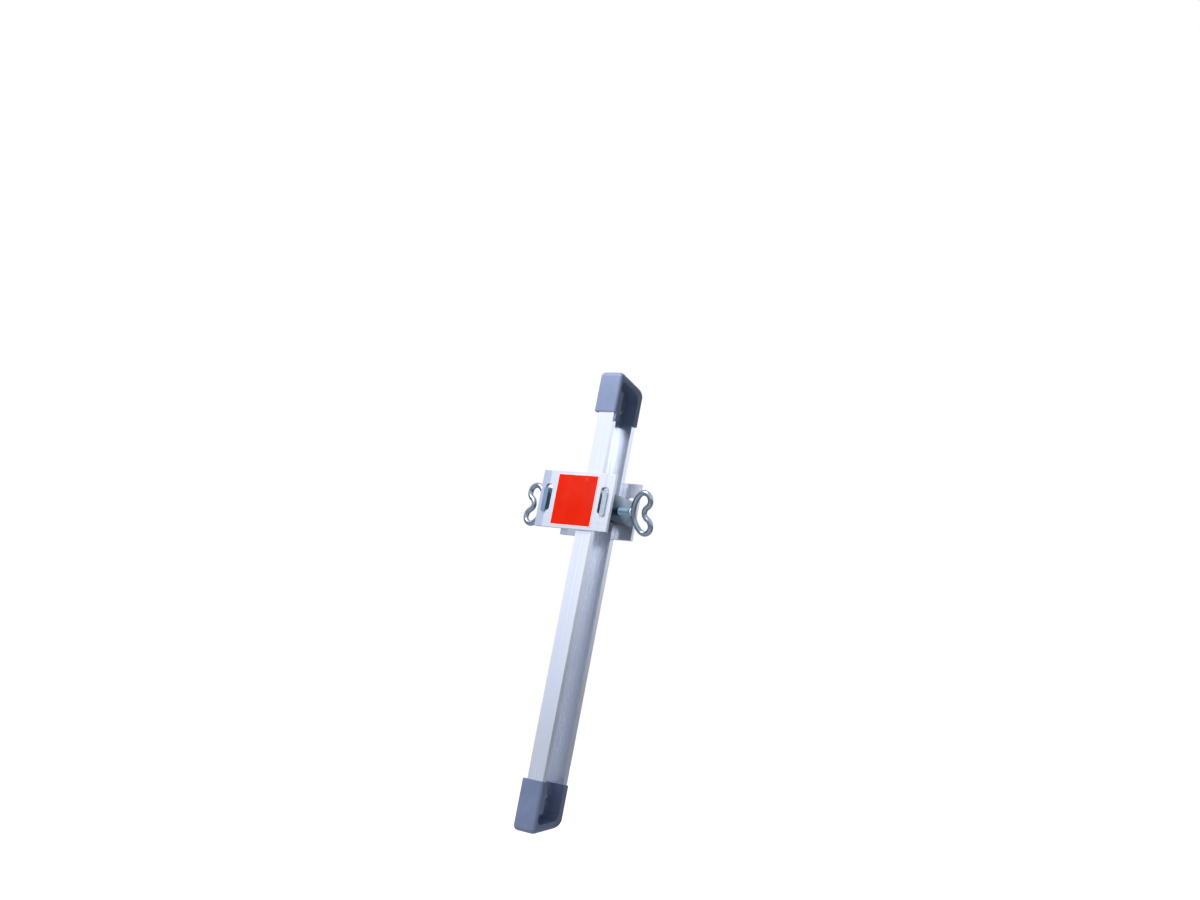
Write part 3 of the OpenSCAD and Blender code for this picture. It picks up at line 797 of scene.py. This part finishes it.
def loop_path(width, height):
    """Centreline of a loop in its own plane, out from the back's middle and up: points once round."""
    lobe_out = width - lobe_radius
    lobe_up = height / 2 - lobe_radius
    back_radius = (lobe_out ** 2 + lobe_up ** 2 - lobe_radius ** 2) / (2 * (lobe_out - lobe_radius))
    back_half = math.degrees(math.atan2(lobe_up, back_radius - lobe_out))
    dent_in = width - dent_depth - lobe_out
    dent_radius = (dent_in ** 2 + lobe_up ** 2 - lobe_radius ** 2) / (2 * (lobe_radius - dent_in))
    dent_out = width - dent_depth + dent_radius
    dent_half = math.degrees(math.atan2(lobe_up, dent_out - lobe_out))
    bends = ((back_radius, 0.0, back_radius, 180 - back_half, 180 + back_half, 40),
             (lobe_out, -lobe_up, lobe_radius, back_half - 180, dent_half, 40),
             (dent_out, 0.0, dent_radius, 180 + dent_half, 180 - dent_half, 28),
             (lobe_out, lobe_up, lobe_radius, -dent_half, 180 - back_half, 40))
    points = []
    for out_to, up_to, radius, start, end, count in bends:
        for i in range(count):
            angle = math.radians(start + (end - start) * i / count)
            points.append((out_to + radius * math.cos(angle), up_to + radius * math.sin(angle)))
    return points


def weld_bead(back, sign):
    """The weld between stud and wire: a fat ring about the stud with the ripples of its run."""
    shape = bmesh.new()
    sides, rounds = 48, 10
    rings = []
    for i in range(sides):
        turn = 2 * math.pi * i / sides
        ripple = 1 + 0.07 * math.cos(11 * turn) + 0.04 * math.cos(5 * turn + 1.0)
        fat = bead_radius * ripple
        ring = []
        for j in range(rounds):
            around = 2 * math.pi * j / rounds
            radius = weld_end_radius + fat * math.cos(around)
            out_to = bead_seat + bead_run * math.sin(turn) ** 2 + 1.15 * fat * math.sin(around)
            x = back + sign * out_to
            ring.append(shape.verts.new((x, radius * math.cos(turn), screw_z + radius * math.sin(turn))))
        rings.append(ring)
    for i in range(sides):
        for j in range(rounds):
            a, b = rings[i], rings[(i + 1) % sides]
            shape.faces.new((a[j], b[j], b[(j + 1) % rounds], a[(j + 1) % rounds]))
    bmesh.ops.recalc_face_normals(shape, faces=shape.faces)
    mesh = bpy.data.meshes.new("weld")
    shape.to_mesh(mesh)
    shape.free()
    mesh.polygons.foreach_set("use_smooth", [True] * len(mesh.polygons))
    return mesh


weld_finish = zinc_finish("Plated weld", (0.36, 0.42, 0.48), (0.52, 0.55, 0.57),
                          (0.70, 0.72, 0.74), 0.34, 0.5)
low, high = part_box("rail_screw_loop")
loop_height = high.z - low.z - 2 * wire_radius
# The leg screw's loop stands turned, with its top to the front
for side, sign, turn in (("leg", 1, math.radians(17)), ("rail", -1, 0.0)):
    low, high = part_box(side + "_screw_loop")
    back = low.x if sign > 0 else high.x
    width = high.x - low.x - 2 * wire_radius
    points = []
    for out_to, up in loop_path(width, loop_height):
        x = back + sign * (wire_radius + out_to)
        points.append((x, -up * math.sin(turn), screw_z + up * math.cos(turn)))
    mesh = bpy.data.meshes.new("wire_path")
    mesh.from_pydata(points, [(i, (i + 1) % len(points)) for i in range(len(points))], [])
    loop = put("dressed_" + side + "_loop", mesh)
    grown(loop, bent_wire, {"Wire radius": wire_radius, "Sides": wire_sides, "Finish": zinc})
    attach(loop, side + "_clamp_screw")
    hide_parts(side + "_screw_loop")
    weld = put("dressed_" + side + "_weld", weld_bead(back, sign))
    weld.data.materials.append(weld_finish)
    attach(weld, side + "_clamp_screw")


# Studio
# A plain pale floor under the lowest reach of the leg, two soft boxes in front, a white
# surround, and the camera at the photograph's place.

leg_drop = 0.080
floor_gap = 0.011
floor_z = cad_box[0][2] - leg_drop - floor_gap
floor_half = 9.0
# The paper is lit near the object, where the shadow falls, and glows white far from it
shadow_reach = 0.5
white_from = 1.4
shape = bmesh.new()
bmesh.ops.create_circle(shape, cap_ends=True, segments=64, radius=floor_half)
mesh = bpy.data.meshes.new("floor")
shape.to_mesh(mesh)
shape.free()
mesh.transform(Matrix.Translation((0.0, 0.0, floor_z)))
floor = put("floor", mesh)
paper = bpy.data.materials.new("White studio paper")
paper.use_nodes = True
tree = paper.node_tree
tree.nodes.clear()
light_path = place(tree, "LightPath").outputs
seen = plus(tree, light_path["Is Camera Ray"], light_path["Is Transmission Ray"])
away = place(tree, "VectorMath", {0: object_place(tree)}, operation="LENGTH").outputs["Value"]
lift = spread(tree, away, shadow_reach, white_from, 0.55, 1.0)
matt = place(tree, "BsdfDiffuse", {"Color": (0.82, 0.82, 0.82, 1.0)}).outputs[0]
shown = plus(tree, times(tree, seen, lift), times(tree, light_path["Is Glossy Ray"], 0.20))
hue = blend_colours(tree, light_path["Is Glossy Ray"], (1.0, 1.0, 1.0), (0.70, 0.81, 1.0))
glow = place(tree, "Emission", {"Color": hue, "Strength": shown}).outputs[0]
total = place(tree, "AddShader", {0: matt, 1: glow}).outputs[0]
tree.links.new(total, place(tree, "OutputMaterial").inputs["Surface"])
floor.data.materials.append(paper)


def blend_values(tree, share, first, second):
    """Value between two values or value sockets."""
    return place(tree, "Mix", {0: share, 2: first, 3: second}, data_type="FLOAT").outputs[0]


world = bpy.data.worlds.new("Studio surround")
bpy.context.scene.world = world
world.use_nodes = True
tree = world.node_tree
tree.nodes.clear()
light_path = place(tree, "LightPath").outputs
plain = plus(tree, light_path["Is Camera Ray"], light_path["Is Transmission Ray"])
direction = place(tree, "TexCoord").outputs["Generated"]
# The front faces mirror what lies to the left of the front
mirrored_side = (-0.63, -0.77, 0.10)
to_front = place(tree, "VectorMath", {0: direction, 1: mirrored_side},
                 operation="DOT_PRODUCT").outputs["Value"]
height = place(tree, "SeparateXYZ", {"Vector": direction}).outputs["Z"]
# The surround is white to the eye. In metal it is grey low down and bright above the horizon. In
# front it fades again higher up, so that pale metal keeps its tone. As light it is soft and blue,
# and weakest from behind.
front_glow = spread(tree, height, -0.10, 0.105, 0.16, 1.36)
front_fade = spread(tree, height, 0.125, 0.20, 1.0, 0.62)
in_front = times(tree, front_glow, front_fade)
behind = spread(tree, height, 0.0, 0.17, 0.05, 1.25)
front_share = spread(tree, to_front, 0.0, 0.8)
mirrored = blend_values(tree, front_share, behind, in_front)
lit = spread(tree, to_front, -0.7, 0.9, 0.09, 0.20)
level = blend_values(tree, light_path["Is Glossy Ray"], lit, mirrored)
level = blend_values(tree, plain, level, 1.0)
low_tint = blend_colours(tree, front_share, (0.82, 0.94, 1.0), (0.70, 0.76, 1.0))
tint = blend_colours(tree, spread(tree, height, -0.05, 0.15), low_tint, (0.91, 0.945, 1.0))
tint = blend_colours(tree, plain, tint, (1.0, 1.0, 1.0))
surround = place(tree, "Background", {"Color": tint, "Strength": level}).outputs[0]
tree.links.new(surround, place(tree, "OutputWorld").inputs["Surface"])


def lamp(name, stands, looks_at, size, power, colour):
    """A square soft box."""
    light = bpy.data.lights.new(name, "AREA")
    light.shape = "SQUARE"
    light.size = size
    light.energy = power
    light.color = colour
    stand = bpy.data.objects.new(name, light)
    stand.location = stands
    stand.rotation_euler = (Vector(looks_at) - Vector(stands)).to_track_quat("-Z", "Y").to_euler()
    bpy.context.scene.collection.objects.link(stand)


lamp("Key soft box", (-0.25, -0.85, 0.80), (0.03, 0.0, -0.08), 0.40, 18.0, (0.98, 0.985, 1.0))
# The small one stands above the camera and looks into the leg's open side
lamp("Side soft box", (1.25, -1.52, 0.48), (0.04, 0.0, 0.08), 0.45, 1.9, (0.94, 0.97, 1.0))

camera_data = bpy.data.cameras.new("Camera")
camera_data.sensor_fit = "HORIZONTAL"
camera_data.sensor_width = 36.0
camera_data.lens = 49.11
camera = bpy.data.objects.new("Camera", camera_data)
right = Vector((0.7792, 0.5979, 0.1881)).normalized()
view = Vector((-0.6253, 0.7620, 0.1684))
view = (view - right * view.dot(right)).normalized()
up = right.cross(view)
turned = Matrix((right, up, -view)).transposed().to_4x4()
camera.matrix_world = Matrix.Translation((1.5287, -1.8342, -0.3217)) @ turned
bpy.context.scene.collection.objects.link(camera)
bpy.context.scene.camera = camera
bpy.context.scene.view_settings.view_transform = "Standard"
